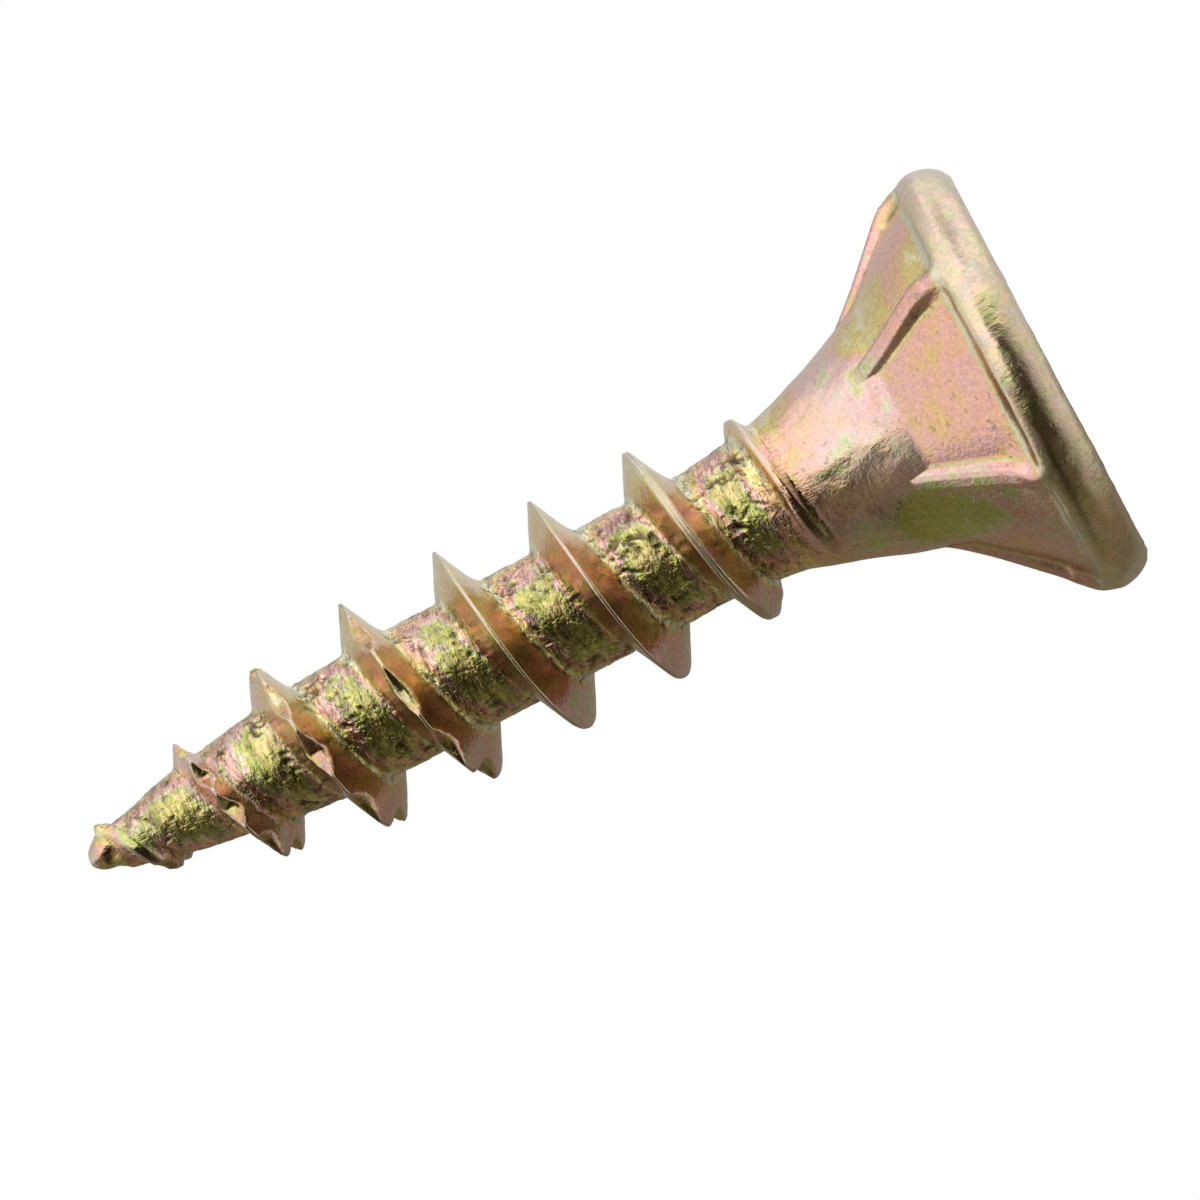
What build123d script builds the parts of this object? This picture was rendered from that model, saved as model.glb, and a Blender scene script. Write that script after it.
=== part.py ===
from build123d import *
from math import cos, radians, sin, tan
import os

# A short countersunk chipboard screw, cold-headed and thread-rolled from one piece of wire.
# +Z runs along the axis out of the head, and the origin is the centre of the head's flat face.
# The point is at z = -LENGTH. Lengths are in millimetres, angles in degrees.

# Driving dimensions
LENGTH = 16.0
HEAD_D = 6.85
THREAD_D = 3.4
ROOT_D = 2.0
PITCH = 1.6

# Rim: a thick rounded band round the flat face, as (radius, z)
FACE_EDGE = (3.10, 0.0)
RIM_CORNER = (3.23, -0.07)
RIM_WIDEST = (HEAD_D / 2, -0.52)
RIM_LOW = (3.368, -0.78)

# Underside: the pocket floor is a cone between the neck and a ledge under the rim, as (radius, z)
FLOOR_NECK_END = (1.96, -2.20)
FLOOR_RIM_END = (3.14, -0.80)

# Ribs: evenly spaced milling ribs whose tops lie on the seat, a cone that hollows a little towards the neck
SEAT_NECK_END = (1.79, -2.58)
SEAT_HOLLOW = [(1.99, -2.34), (2.26, -2.03)]
SEAT_RIM_END = (3.30, -0.98)
RIB_COUNT = 6
FIRST_RIB_ANGLE = -4.5
RIB_FOOT_WIDTH = 0.46
RIB_DRAFT_ANGLE = 21.0
RIB_INSET = 0.02
RIB_ROOT_DEPTH = 0.30
RIB_SPARE_HEIGHT = 0.50

# Neck: a flare from the thread's root up to the pocket floor, as (radius, z)
NECK_POINTS = [(ROOT_D / 2, -5.50), (1.09, -4.84), (1.22, -4.15), (1.475, -3.34), SEAT_NECK_END,
               FLOOR_NECK_END]
NECK_END_SLOPE = 0.44

# Point: a slim taper with a blunt nose, as (radius, height above the tip)
NOSE_BULGE = (0.20, 0.07)
TAPER_POINTS = [(0.30, 0.22), (0.63, 1.60), (0.87, 3.20), (ROOT_D / 2, 4.90)]
TAPER_START_SLOPE = 0.26

# Thread: a flat-crested triangle, one start, right-handed. Its crest rises behind the point and fades on the neck
FLANK_ANGLE = 24.0
CREST_WIDTH = 0.07
RIDGE_SINK = 0.12
CREST_REFERENCE = (-90.0, -7.328)
CREST_RADII = [(-15.35, 0.38), (-14.91, 0.69), (-14.14, 0.97), (-13.25, 1.37), (-12.52, 1.56),
               (-11.70, 1.68), (-10.50, THREAD_D / 2), (-6.80, THREAD_D / 2), (-6.17, 1.68),
               (-5.34, 1.54), (-4.62, 1.36), (-4.06, 1.18)]
SPANS_PER_TURN = 4
STEPS_PER_SPAN = 8

# Cutting notches: V cuts across the crest of the lower turns
NOTCH_SPACING_ANGLE = 38.9
NOTCH_HALF_ANGLE = 14.5
NOTCH_DEPTH = 0.24
NOTCH_SHARE_OF_RIDGE = 0.5
LAST_NOTCH_Z = -10.22
NOTCH_COUNT = 28

# Drive recess: a size 2 cross recess of type Z, with its four diagonal flutes and face marks
RECESS_SPAN = 3.9
RECESS_FLOOR_SPAN = 2.1
RECESS_WING_WIDTH = 0.98
RECESS_DEPTH = 1.75
RECESS_CONE_DEPTH = 0.35
FLUTE_SPAN = 2.5
FLUTE_FLOOR_SPAN = 1.6
FLUTE_WIDTH = 0.36
FLUTE_DEPTH = 1.55
MARK_START = 1.55
MARK_LENGTH = 0.75
MARK_WIDTH = 0.16
CUTTER_LIFT = 0.2


def interpolate(table, position):
    """The value at position on a line through (position, value) pairs, held level past both ends."""
    if position <= table[0][0]:
        return table[0][1]
    for (low, at_low), (high, at_high) in zip(table, table[1:]):
        if position <= high:
            return at_low + (at_high - at_low) * (position - low) / (high - low)
    return table[-1][1]


def axial_points(pairs):
    """(radius, z) pairs as points of the XZ plane."""
    return [Vector(radius, 0, z) for radius, z in pairs]


def turned(edges):
    """The solid that a closed outline in the XZ plane sweeps out round the axis."""
    return revolve(make_face(Curve() + edges), axis=Axis.Z)


# Core and head

def blank():
    """Point, core, neck and head as one turned solid, its underside at the level of the pocket floor."""
    tip = Vector(0, 0, -LENGTH)
    bulge = Vector(NOSE_BULGE[0], 0, NOSE_BULGE[1] - LENGTH)
    taper = axial_points([(radius, height - LENGTH) for radius, height in TAPER_POINTS])
    neck = axial_points(NECK_POINTS)
    floor_end, low, widest, corner, face_edge = axial_points(
        [FLOOR_RIM_END, RIM_LOW, RIM_WIDEST, RIM_CORNER, FACE_EDGE])
    return turned([
        ThreePointArc(tip, bulge, taper[0]),
        Spline(*taper, tangents=[(TAPER_START_SLOPE, 0, 1), (0, 0, 1)]),
        Line(taper[-1], neck[0]),
        Spline(*neck, tangents=[(0, 0, 1), (NECK_END_SLOPE, 0, 1)]),
        Line(neck[-1], floor_end),
        Line(floor_end, low),
        ThreePointArc(low, widest, corner),
        Line(corner, face_edge),
        Line(face_edge, Vector(0, 0, 0)),
        Line(Vector(0, 0, 0), tip),
    ])


def rib_envelope():
    """The turned space under the seat that the ribs fill, kept just inside the rim's own surface."""
    seat = axial_points([SEAT_NECK_END, *SEAT_HOLLOW, SEAT_RIM_END])
    inside_seat = seat[0] + (seat[0] - seat[-1]) * RIB_ROOT_DEPTH
    rim_join = Vector(RIM_LOW[0] - RIB_INSET, 0, RIM_LOW[1])
    inside_rim = Vector(FLOOR_RIM_END[0], 0, RIM_WIDEST[1])
    inside_neck = Vector(inside_seat.X, 0, RIM_WIDEST[1])
    return turned([
        Line(inside_seat, seat[0]),
        Spline(*seat),
        *Polyline(seat[-1], rim_join, inside_rim, inside_neck, inside_seat).edges(),
    ])


def rib_bar():
    """A drafted bar along one generator of the pocket floor, with spare height and length."""
    start, end = axial_points([FLOOR_NECK_END, FLOOR_RIM_END])
    along = (end - start).normalized()
    across = Vector(0, 1, 0)
    plane = Plane(origin=start - along, x_dir=across, z_dir=along)
    outward = 1 if plane.y_dir.Z < 0 else -1
    draft = tan(radians(RIB_DRAFT_ANGLE))
    foot = RIB_FOOT_WIDTH / 2 + draft * RIB_ROOT_DEPTH
    top = RIB_FOOT_WIDTH / 2 - draft * RIB_SPARE_HEIGHT
    low, high = -RIB_ROOT_DEPTH * outward, RIB_SPARE_HEIGHT * outward
    outline = Polyline((-foot, low), (foot, low), (top, high), (-top, high), (-foot, low))
    return extrude(plane * make_face(outline), (end - start).length + 2)


def ribs():
    """All the ribs under the head."""
    rib = rib_envelope() & rib_bar()
    return [Rot(0, 0, FIRST_RIB_ANGLE + 360.0 * i / RIB_COUNT) * rib for i in range(RIB_COUNT)]


# Thread

def core_radius(z):
    """Radius of the core under the thread at height z."""
    profile = [(height - LENGTH, radius) for radius, height in TAPER_POINTS]
    profile += [(height, radius) for radius, height in NECK_POINTS]
    return interpolate(profile, z)


def crest_radius(z):
    return interpolate(CREST_RADII, z)


def foot_radius(z):
    """Radius of the ridge's hidden foot, sunk a little way into the core."""
    return core_radius(z) - RIDGE_SINK


def half_foot(z):
    """Half the ridge's width at its hidden foot."""
    return CREST_WIDTH / 2 + tan(radians(FLANK_ANGLE)) * (crest_radius(z) - foot_radius(z))


def crest_angle(z):
    """The angle round the axis at which the crest's middle is at height z."""
    reference_angle, reference_z = CREST_REFERENCE
    return reference_angle + 360.0 * (z - reference_z) / PITCH


def helix_edge(heights, radius_at, offset_at):
    """A spline round the axis that follows the crest's angle, shifted along the axis by offset_at."""
    points = []
    for z in heights:
        angle = radians(crest_angle(z))
        radius = radius_at(z)
        points.append(Vector(radius * cos(angle), radius * sin(angle), z + offset_at(z)))
    steps = len(points) - 1
    return Edge.make_spline(points, parameters=[i / steps for i in range(steps + 1)])


def end_face(rails, end):
    """The flat face across the ridge at one end of a span."""
    corners = [rail @ end for rail in rails]
    return make_face(Polyline(*corners, corners[0]).edges()).face()


def ridge():
    """The thread's ridge as its own solid, made of short spans that share their edges."""
    first, last = CREST_RADII[0][0], CREST_RADII[-1][0]
    spans = round((last - first) / PITCH * SPANS_PER_TURN)
    faces = []
    for span in range(spans):
        shares = [(span + i / STEPS_PER_SPAN) / spans for i in range(STEPS_PER_SPAN + 1)]
        heights = [first + (last - first) * share for share in shares]
        rails = [
            helix_edge(heights, foot_radius, lambda z: -half_foot(z)),
            helix_edge(heights, crest_radius, lambda z: -CREST_WIDTH / 2),
            helix_edge(heights, crest_radius, lambda z: CREST_WIDTH / 2),
            helix_edge(heights, foot_radius, half_foot),
        ]
        faces += [Face.make_surface_from_curves(a, b) for a, b in zip(rails, rails[1:] + rails[:1])]
        if span == 0:
            faces.append(end_face(rails, 0))
        if span == spans - 1:
            faces.append(end_face(rails, 1))
    return Solid(Shell(faces))


def notch_cutters():
    """A V-shaped cutter for each notch, its valley running across the thread."""
    cutters = []
    for i in range(NOTCH_COUNT):
        z = LAST_NOTCH_Z - i * PITCH * NOTCH_SPACING_ANGLE / 360.0
        crest = crest_radius(z)
        depth = min(NOTCH_DEPTH, NOTCH_SHARE_OF_RIDGE * (crest - core_radius(z)))
        valley = Vector(crest - depth, 0)
        half = radians(NOTCH_HALF_ANGLE)
        mouth = Vector(crest * cos(half), crest * sin(half))
        flare = valley + (mouth - valley) * 1.5
        outline = Polyline(valley, flare, (flare.X, -flare.Y), valley)
        cutter = extrude(make_face(outline), PITCH / 4, both=True)
        cutters.append(Pos(0, 0, z) * Rot(0, 0, crest_angle(z)) * cutter)
    return cutters


# Drive recess

def tapered_wing(span, floor_span, width, depth):
    """A bar across the axis whose ends slope in towards the floor."""
    slope = (span - floor_span) / 2 / depth
    top = span / 2 + slope * CUTTER_LIFT
    outline = Polyline((-top, CUTTER_LIFT), (top, CUTTER_LIFT), (floor_span / 2, -depth),
                       (-floor_span / 2, -depth), (-top, CUTTER_LIFT))
    return extrude(Plane.XZ * make_face(outline), width / 2, both=True)


def recess():
    """The cross recess with its diagonal flutes, conical floor and four marks on the face."""
    wing = tapered_wing(RECESS_SPAN, RECESS_FLOOR_SPAN, RECESS_WING_WIDTH, RECESS_DEPTH)
    flute = tapered_wing(FLUTE_SPAN, FLUTE_FLOOR_SPAN, FLUTE_WIDTH, FLUTE_DEPTH)
    mark = Rot(45, 0, 0) * Box(MARK_LENGTH, MARK_WIDTH / 2 ** 0.5, MARK_WIDTH / 2 ** 0.5)
    mark = Pos(MARK_START + MARK_LENGTH / 2, 0, 0) * mark
    cone_radius = RECESS_WING_WIDTH / 2
    floor = Pos(0, 0, -RECESS_DEPTH - RECESS_CONE_DEPTH / 2) * Cone(0.05, cone_radius, RECESS_CONE_DEPTH)
    cutters = [wing, Rot(0, 0, 90) * wing, floor]
    cutters += [Rot(0, 0, angle) * flute for angle in (45, 135)]
    cutters += [Rot(0, 0, angle) * mark for angle in (45, 135, 225, 315)]
    return cutters


def screw():
    """The finished screw as one solid."""
    notched_ridge = ridge() - notch_cutters()
    return blank() + ribs() + notched_ridge - recess()


os.makedirs("parts", exist_ok=True)
export_step(screw(), "parts/screw.step")
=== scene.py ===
import math

import bpy
import numpy as np
from mathutils import Matrix, Vector, noise


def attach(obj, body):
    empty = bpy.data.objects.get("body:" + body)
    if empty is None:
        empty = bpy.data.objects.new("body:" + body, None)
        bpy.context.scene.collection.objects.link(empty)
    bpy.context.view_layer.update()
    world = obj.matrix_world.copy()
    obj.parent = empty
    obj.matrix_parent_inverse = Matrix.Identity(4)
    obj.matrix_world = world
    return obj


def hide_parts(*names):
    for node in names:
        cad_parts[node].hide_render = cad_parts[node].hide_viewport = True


# The screw's looks: one finely meshed surface that stands for the CAD node, with a procedural finish of
# yellow-passivated zinc. Lengths are in millimetres, and MM turns them into metres where they reach Blender.
# The head's face is at z = 0 and the point is below it.

MM = 0.001

# Shank, neck and head, matching the CAD solid: the tables hold (z, radius) and single points are (radius, z)
TIP_Z = -16.0
CORE = [(-15.78, 0.30), (-14.40, 0.63), (-12.80, 0.87), (-11.10, 1.00), (-5.50, 1.00), (-4.84, 1.09),
        (-4.15, 1.22), (-3.34, 1.475), (-2.58, 1.79), (-2.20, 1.96)]
CORE_SMOOTHING, SEAT_SMOOTHING, CREST_SMOOTHING = 0.16, 0.10, 0.10
FLOOR_NECK_END = (1.96, -2.20)
FLOOR_RIM_END = (3.14, -0.80)
SEAT = [(-2.58, 1.79), (-2.34, 1.99), (-2.03, 2.26), (-0.98, 3.30)]
RIM_LOW = (3.368, -0.78)
RIM_WIDEST = (3.425, -0.52)
RIM_CORNER = (3.23, -0.07)
RIM_BEND = 0.617
FACE_EDGE_R = 3.10
RIM_OFF_CENTRE = 0.10
NOSE_BLUNTNESS = 0.8

# Thread, matching the CAD solid apart from the wear. Here and below, a pair is where an effect starts and
# where it is full: heights where the name ends in Z, START, TOP or END
PITCH = 1.6
CREST_ANGLE = -90.0
CREST_Z = -7.328
FLANK_SLOPE = 1 / math.tan(math.radians(24.0))
CREST_WIDTH = 0.045
FADING_CREST_WIDTH, FADING_Z = 0.12, (-7.2, -5.2)
START_CREST_WIDTH, START_Z = 0.20, (-14.6, -15.2)
FOOT_FILLET = 0.15
THREAD_WOBBLE = 0.02
LAST_TURN_DROP, LAST_TURN_START, LAST_TURN_END = 0.10, (-5.3, -4.5), (-3.90, -4.12)
CREST = [(-15.75, 0.36), (-15.35, 0.50), (-14.91, 0.69), (-14.14, 0.97), (-13.25, 1.38), (-12.52, 1.56),
         (-11.70, 1.68), (-10.50, 1.70), (-6.80, 1.70), (-6.17, 1.68), (-5.34, 1.54), (-4.70, 1.39),
         (-4.24, 1.29), (-3.95, 1.275), (-3.75, 1.20)]

# Cutting notches across the crest: turns along the thread, where 0 is the crest at CREST_Z
NOTCH_TURN = -3.0875
NOTCH_SPACING = 39.0 / 360
NOTCH_FIRST, NOTCH_LAST = -16, 12
NOTCH_HALF_ANGLE = math.radians(14.5)
NOTCH_DEPTH = 0.24
NOTCH_DEPTH_SHARES = (0.70, 1.20)
NOTCH_SHARE_OF_RIDGE = 0.55
NOTCH_ROUNDING = 1.45
NOTCH_JITTER = 0.02
UNCUT = 9.0
CHIPPED_TEETH = [(-3.25, 0.24, 0.03), (-2.45, 0.10, 0.03)]

# Marks on the thread: the seam along its crest, the second line beside the last turn's crest, and one burr
DOME_DROP = 0.008
SEAM_DEPTH, SEAM_WIDTH = 0.018, 0.012
SEAM_Z, SEAM_REACH = -5.9, 0.7
SECOND_LINE_DEPTH, SECOND_LINE_OFFSET, SECOND_LINE_WIDTH = 0.022, 0.085, 0.03
SECOND_LINE_Z = (-5.0, -4.5)
BURR_TURN, BURR_LENGTH = 1.26, 0.05
BURR_HEIGHT, BURR_OFFSET, BURR_WIDTH = 0.20, 0.26, 0.11
CREST_WORN_DEPTH, EDGE_WORN_DEPTH, EDGE_WORN = 0.022, 0.03, 0.8

# Ribs under the head
RIB_COUNT = 6
FIRST_RIB_ANGLE = -4.5
RIB_OFFSETS = [-0.225, -0.20, -0.165, -0.125, -0.06, 0.0, 0.06, 0.125, 0.165, 0.20, 0.225]
RIB_TOP_HALF = 0.125
RIB_FOOT_HALF = 0.225
RUBBED_FEET_START, RUBBED_FEET_END = (-2.5, -2.2), (-0.9, -1.0)
LEDGE_LOW_Z, LEDGE_HIGH_Z = -1.08, -0.66
LEDGE_PASSES = 8

# Mesh density
SECTOR_COLUMNS = 36
COLUMNS = SECTOR_COLUMNS * RIB_COUNT
THREAD_LOW_Z = -15.74
THREAD_HIGH_Z = -3.90
ROW_GAP = 0.012
ALIGNED_Z = -3.0
NOSE_ROWS = 11
FACE_ROWS = 20
NECK_ROWS, CONE_ROWS, LEDGE_ROWS, RIM_ROWS, FACE_EDGE_ROWS = 26, 30, 6, 16, 3
RECESS_SHARES = (0.0, 0.15, 0.3, 0.5, 0.7, 0.9, 1.0)

# Regions of the surface
SHANK, HEAD, FACE, RECESS = 0, 1, 2, 3


def smooth_step(low, high, x):
    t = np.clip((x - low) / (high - low), 0.0, 1.0)
    return t * t * (3 - 2 * t)


def smooth_max(a, b, width):
    blend = np.clip(1 - np.abs(a - b) / width, 0.0, 1.0)
    return np.maximum(a, b) + blend * blend * width / 4


def bump_at(x, centre, width):
    return np.exp(-((x - centre) / width) ** 2)


def mix(a, b, share):
    return a + (b - a) * share


def smoothed_table(pairs, width, step=0.01):
    """A dense (positions, values) table through the pairs, extended past both ends, its corners rounded."""
    xs, ys = (np.array(side) for side in zip(*pairs))
    at = np.arange(xs[0] - 1.0, xs[-1] + 1.0, step)
    values = np.interp(at, xs, ys)
    values += np.where(at > xs[-1], (ys[-1] - ys[-2]) / (xs[-1] - xs[-2]) * (at - xs[-1]), 0)
    values += np.where(at < xs[0], (ys[1] - ys[0]) / (xs[1] - xs[0]) * (at - xs[0]), 0)
    reach = int(3 * width / step)
    kernel = np.exp(-0.5 * (np.arange(-reach, reach + 1) * step / width) ** 2)
    padded = np.pad(values, reach, mode="edge")
    return at, np.convolve(padded, kernel / kernel.sum(), mode="valid")


CORE_TABLE = smoothed_table(CORE, CORE_SMOOTHING)
CREST_TABLE = smoothed_table(CREST, CREST_SMOOTHING)
SEAT_TABLE = smoothed_table(SEAT, SEAT_SMOOTHING)


def core_radius(z):
    return np.interp(z, *CORE_TABLE)


def crest_radius(z):
    return np.interp(z, *CREST_TABLE)


# Thread surface

def helix_rows():
    """Offsets from the crest, in mm along the axis, of one pitch's rows of vertices."""
    half = CREST_WIDTH / 2
    ridge_height = 0.70
    foot = half + ridge_height / FLANK_SLOPE
    top = [0.0, half * 0.5, half * 0.95, half * 1.4]
    flank = list(np.linspace(half * 2.2, foot - 0.05, 6))
    fillet = list(np.linspace(foot - 0.015, foot + 0.13, 5))
    root = list(np.linspace(foot + 0.165, PITCH / 2, 9))
    side = top + flank + fillet + root
    return np.array([-x for x in side[-2:0:-1]] + side)


def scatter(k):
    """A repeatable value from 0 to 1 for each whole number."""
    return np.modf(np.abs(np.sin(k * 12.9898) * 43758.5453))[0]


def notch_limit(turn, crest, core):
    """The radius that notches and chips leave of the ridge at a place this many turns along the thread."""
    k = np.clip(np.round((turn - NOTCH_TURN) / NOTCH_SPACING), NOTCH_FIRST, NOTCH_LAST)
    jitter = NOTCH_JITTER * (scatter(k + 40.0) - 0.5)
    away = np.abs(turn - NOTCH_TURN - k * NOTCH_SPACING - jitter) * 2 * math.pi
    full = NOTCH_DEPTH * mix(*NOTCH_DEPTH_SHARES, scatter(k))
    depth = np.minimum(full, NOTCH_SHARE_OF_RIDGE * np.maximum(crest - core, 0.02))
    share = away / NOTCH_HALF_ANGLE
    limit = np.where(share < 1.0, crest - depth * (1 - share ** NOTCH_ROUNDING), UNCUT)
    for chip_turn, chip_depth, width in CHIPPED_TEETH:
        chip = crest - chip_depth * np.exp(-((turn - chip_turn) / width) ** 4)
        limit = np.where(np.abs(turn - chip_turn) < 2.5 * width, np.minimum(limit, chip), limit)
    return limit


def thread_surface(z, turn, offset):
    """Radius of the threaded shank, its height above the core, and how much it is worn and cut away."""
    core = core_radius(z)
    crest = crest_radius(z - offset)
    width = mix(CREST_WIDTH, FADING_CREST_WIDTH, smooth_step(*FADING_Z, z))
    width = mix(width, START_CREST_WIDTH, smooth_step(*START_Z, z))
    across = np.abs(offset) / (width / 2)
    dome = DOME_DROP * np.clip(across, 0, 1) ** 2
    seam = SEAM_DEPTH * bump_at(offset, 0, SEAM_WIDTH) * bump_at(z, SEAM_Z, SEAM_REACH)
    flank = np.maximum(np.abs(offset) - width / 2, 0.0) * FLANK_SLOPE
    burr = BURR_HEIGHT * bump_at(turn, BURR_TURN, BURR_LENGTH) * bump_at(offset, BURR_OFFSET, BURR_WIDTH)
    ridge = crest - dome - seam - flank + burr
    limit = notch_limit(turn, crest, core)
    radius = smooth_max(core, np.minimum(ridge, limit), FOOT_FILLET)
    second_line = bump_at(offset, SECOND_LINE_OFFSET, SECOND_LINE_WIDTH) * smooth_step(*SECOND_LINE_Z, z)
    radius = radius - SECOND_LINE_DEPTH * second_line
    stand = radius - core
    cut = smooth_step(0.0, 0.03, ridge - limit) * smooth_step(0.05, 0.12, stand)
    edge = bump_at(ridge, limit, EDGE_WORN_DEPTH) * smooth_step(0.08, 0.16, stand)
    worn = bump_at(radius, crest - dome, CREST_WORN_DEPTH) * smooth_step(0.06, 0.2, stand)
    return radius, stand, np.maximum(worn, EDGE_WORN * edge), cut


# Mesh assembly

class Surface:
    """Vertices in mm, the faces between them, and per vertex its height above the core, its offset from the
    crest, its worn share, its cut share and its region."""

    def __init__(self):
        self.points = []
        self.notes = []
        self.faces = []
        self.count = 0

    def add(self, points, stand=0.0, offset=PITCH / 2, worn=0.0, cut=0.0, region=SHANK):
        points = np.atleast_2d(points)
        notes = np.empty((len(points), 5))
        for column, values in enumerate((stand, offset, worn, cut, region)):
            notes[:, column] = values
        self.points.append(points)
        self.notes.append(notes)
        self.count += len(points)
        return np.arange(self.count - len(points), self.count)

    def bridge(self, low, high):
        """Faces between two closed rings of equal length, the lower or outer ring first."""
        for i in range(len(low)):
            j = (i + 1) % len(low)
            self.faces.append((low[i], low[j], high[j], high[i]))

    def fan(self, ring, centre, up):
        for i in range(len(ring)):
            j = (i + 1) % len(ring)
            self.faces.append((ring[i], ring[j], centre) if up else (ring[j], ring[i], centre))


def uniform_angles():
    """Column angles in degrees, with the first rib's middle column on its centre line."""
    return FIRST_RIB_ANGLE + (np.arange(COLUMNS) - len(RIB_OFFSETS) // 2) * 360.0 / COLUMNS


def polar(radius, angle, z):
    a = np.radians(angle)
    return np.stack([radius * np.cos(a), radius * np.sin(a), z + 0 * a], axis=-1)


def drift(z):
    """The last turn sits slightly lower than the even pitch would put it."""
    return -LAST_TURN_DROP * smooth_step(*LAST_TURN_START, z) * smooth_step(*LAST_TURN_END, z)


def add_thread_vertices(surface, angle, z, turn, offset):
    z = z + drift(z)
    radius, stand, worn, cut = thread_surface(z, turn, offset)
    wobbled = z + THREAD_WOBBLE * np.cos(np.radians(angle)) * smooth_step(0.02, 0.25, stand)
    return surface.add(polar(radius, angle, wobbled), stand, offset, worn, cut)


def add_thread_column(surface, angle, rows):
    """One column of vertices. Returns its first row label and its vertices: labels climb with the thread."""
    along = (angle - CREST_ANGLE) / 360.0
    first = math.floor((THREAD_LOW_Z - CREST_Z) / PITCH - along) - 1
    laps = math.ceil((THREAD_HIGH_Z - THREAD_LOW_Z) / PITCH) + 3
    labels = np.arange(first * len(rows), (first + laps) * len(rows))
    lap, row = labels // len(rows), labels % len(rows)
    z = CREST_Z + PITCH * (along + lap) + rows[row]
    keep = (z > THREAD_LOW_Z + ROW_GAP) & (z < THREAD_HIGH_Z - ROW_GAP)
    z, turn, offset = z[keep], (along + lap)[keep], rows[row][keep]
    return labels[keep][0], add_thread_vertices(surface, angle + 0 * z, z, turn, offset)


def add_flat_ring(surface, z):
    """A ring at one height, where the climbing rows are cut off."""
    angles = uniform_angles()
    along = (angles - CREST_ANGLE) / 360.0
    away = (z - CREST_Z) / PITCH - along
    nearest = np.round(away)
    return add_thread_vertices(surface, angles, z + 0 * angles, along + nearest, (away - nearest) * PITCH)


def add_thread(surface):
    """The threaded shank between two flat rings, which it returns."""
    rows = helix_rows()
    columns = [add_thread_column(surface, angle, rows) for angle in uniform_angles()]
    low_ring, high_ring = (add_flat_ring(surface, z) for z in (THREAD_LOW_Z, THREAD_HIGH_Z))
    for i in range(COLUMNS):
        j = (i + 1) % COLUMNS
        (start, here), (start_next, there) = columns[i], columns[j]
        if j == 0:
            start_next -= len(rows)
        low = max(start, start_next)
        high = min(start + len(here), start_next + len(there)) - 1
        for label in range(low, high):
            a, b = label - start, label - start_next
            surface.faces.append((here[a], there[b], there[b + 1], here[a + 1]))
        a, b = low - start, low - start_next
        surface.faces.append((low_ring[i], low_ring[j], *there[:b + 1], *here[:a + 1][::-1]))
        a, b = high - start, high - start_next
        surface.faces.append((*here[a:][::-1], *there[b:], high_ring[j], high_ring[i]))
    return low_ring, high_ring


def add_nose(surface, ring):
    """The blunt nose, from the thread's lowest ring to the tip."""
    angles = uniform_angles()
    radius = float(core_radius(THREAD_LOW_Z))
    depth = THREAD_LOW_Z - TIP_Z
    above = ring
    for share in np.linspace(0, 1, NOSE_ROWS + 1)[1:-1]:
        t = share * math.pi / 2
        points = polar(radius * math.cos(t) ** NOSE_BLUNTNESS, angles, THREAD_LOW_Z - depth * math.sin(t))
        below = surface.add(points)
        surface.bridge(below, above)
        above = below
    tip = surface.add((0.0, 0.0, TIP_Z))[0]
    surface.fan(above, tip, up=False)


# Head

def rib_angles(radius, share):
    """Column angles at one radius, moved by share from even spacing onto lines along the ribs."""
    pocket_cells = SECTOR_COLUMNS - len(RIB_OFFSETS) + 1
    foot = math.degrees(math.asin(RIB_FOOT_HALF / radius))
    gap = 360.0 / RIB_COUNT - 2 * foot
    angles = []
    for k in range(RIB_COUNT):
        centre = FIRST_RIB_ANGLE + 360.0 * k / RIB_COUNT
        angles += [centre + math.degrees(math.asin(x / radius)) for x in RIB_OFFSETS]
        angles += [centre + foot + gap * i / pocket_cells for i in range(1, pocket_cells)]
    return mix(uniform_angles(), np.array(angles), share)


def rib_share():
    """How much each column belongs to a rib's top: 1 on it, 0 in the pocket."""
    offsets = np.abs(RIB_OFFSETS)
    rib = np.clip((RIB_FOOT_HALF - offsets) / (RIB_FOOT_HALF - RIB_TOP_HALF), 0, 1)
    pocket = np.zeros(SECTOR_COLUMNS - len(RIB_OFFSETS))
    return np.tile(np.concatenate([rib, pocket]), RIB_COUNT)


def rib_feet():
    """1 on the columns along the ribs' feet, 0 elsewhere."""
    feet = np.isclose(np.abs(RIB_OFFSETS), RIB_FOOT_HALF).astype(float)
    return np.tile(np.concatenate([feet, np.zeros(SECTOR_COLUMNS - len(RIB_OFFSETS))]), RIB_COUNT)


def line(start, end, count):
    shares = np.arange(1, count + 1) / count
    return [(mix(start[0], end[0], s), mix(start[1], end[1], s)) for s in shares]


def rim_arc(count):
    """Points up the rim from its low edge to its corner."""
    centre = RIM_WIDEST[0] - RIM_BEND
    start = math.atan2(RIM_LOW[1] - RIM_WIDEST[1], RIM_LOW[0] - centre)
    end = math.atan2(RIM_CORNER[1] - RIM_WIDEST[1], RIM_CORNER[0] - centre)
    turns = np.linspace(start, end, count + 1)[1:]
    return [(centre + RIM_BEND * math.cos(t), RIM_WIDEST[1] + RIM_BEND * math.sin(t)) for t in turns]


def seat_line(start_z, count):
    """Points up the ribs' tops."""
    end_z = SEAT[-1][0]
    heights = [mix(start_z, end_z, i / count) for i in range(1, count + 1)]
    return [(float(np.interp(z, *SEAT_TABLE)), z) for z in heights]


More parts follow.
